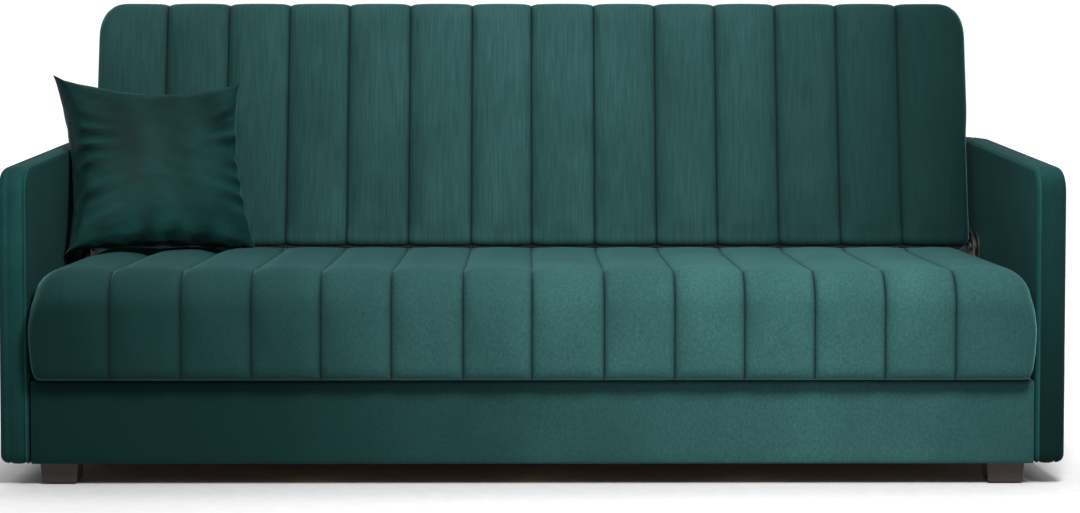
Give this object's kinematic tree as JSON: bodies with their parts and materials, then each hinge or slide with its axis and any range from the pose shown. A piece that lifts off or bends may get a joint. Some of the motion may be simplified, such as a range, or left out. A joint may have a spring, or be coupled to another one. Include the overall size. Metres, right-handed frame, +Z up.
{
  "type": "sofa bed",
  "caption": "Upholstered sofa bed with channel-stitched seat and back pads, flat side arms, block feet, a bedding box and a loose square pillow.",
  "frame": {"origin": "on the floor, under the middle of the sofa's width and depth", "axes": "+X to the right when looking at the sofa's front, along its width; +Y from the front to the back; +Z up"},
  "size_m": [2.042, 0.88, 0.9491],
  "materials": {
    "velvet": "dark green velvet",
    "pillow_velvet": "dark green velvet, satin sheen",
    "lining": "black non-woven",
    "foam": "open-cell foam",
    "filling": "fibre",
    "pine": "planed, unfinished",
    "chipboard": "raw board",
    "hardboard": "smooth hardboard",
    "foot_wood": "dark brown stain",
    "glide_plastic": "matt",
    "felt": "needle felt",
    "webbing": "elastic webbing",
    "zip_plastic": "dark green coil zip",
    "spring_steel": "bare spring wire",
    "zinc_steel": "zinc plated",
    "plate_steel": "black zinc"
  },
  "bodies": {
    "base": {"arm_bolts": "zinc_steel", "arm_core_left": "chipboard", "arm_core_right": "chipboard", "arm_cover_left": "velvet", "arm_cover_right": "velvet", "arm_padding_left": "foam", "arm_padding_right": "foam", "arm_washers": "zinc_steel", "base_hinge_plate_left": "plate_steel", "base_hinge_plate_right": "plate_steel", "base_plate_screws": "zinc_steel", "corner_blocks": "pine", "fascia_cover": "velvet", "fascia_padding": "foam", "floor_battens": "pine", "floor_panel": "hardboard", "foot_bolts": "zinc_steel", "foot_front_left": "foot_wood", "foot_front_right": "foot_wood", "foot_glides": "glide_plastic", "foot_rear_left": "foot_wood", "foot_rear_right": "foot_wood", "front_board": "chipboard", "hinge_rivets": "plate_steel", "hinge_spacers": "plate_steel", "rear_board": "chipboard", "rear_lining": "lining", "seat_rests": "felt", "side_board_left": "chipboard", "side_board_right": "chipboard"},
    "seat": {"seat_cover": "velvet", "seat_cross_rails": "pine", "seat_dust_cover": "lining", "seat_felt": "felt", "seat_foam": "foam", "seat_hinge_plate_left": "plate_steel", "seat_hinge_plate_right": "plate_steel", "seat_plate_screws": "zinc_steel", "seat_rail_front": "pine", "seat_rail_left": "pine", "seat_rail_rear": "pine", "seat_rail_right": "pine", "seat_spring_clips": "spring_steel", "seat_springs": "spring_steel"},
    "backrest": {"back_cover": "velvet", "back_cross_rails": "pine", "back_dust_cover": "lining", "back_foam": "foam", "back_hinge_plate_left": "plate_steel", "back_hinge_plate_right": "plate_steel", "back_plate_screws": "zinc_steel", "back_rail_bottom": "pine", "back_rail_left": "pine", "back_rail_right": "pine", "back_rail_top": "pine", "back_webbing": "webbing"},
    "pillow": {"pillow_cover": "pillow_velvet", "pillow_filling": "filling", "pillow_zip": "zip_plastic"}
  },
  "joints": [
    {"name": "seat_lift", "type": "hinge", "parent": "base", "child": "seat", "pos_m": [0, 0.17, 0.42], "axis": [-1, 0, 0], "range_deg": [0, 45]},
    {"name": "back_recline", "type": "hinge", "parent": "base", "child": "backrest", "pos_m": [0, 0.17, 0.42], "axis": [-1, 0, 0], "range_deg": [0, 78.2]},
    {"name": "pillow_lift", "type": "slide", "parent": "base", "child": "pillow", "axis": [0, 0.2045, 0.9789], "range_m": [0, 0.262]}
  ],
  "couplings": [
    {"joint": "pillow_lift", "follows": "seat_lift", "m_per_rad": 0.33}
  ]
}
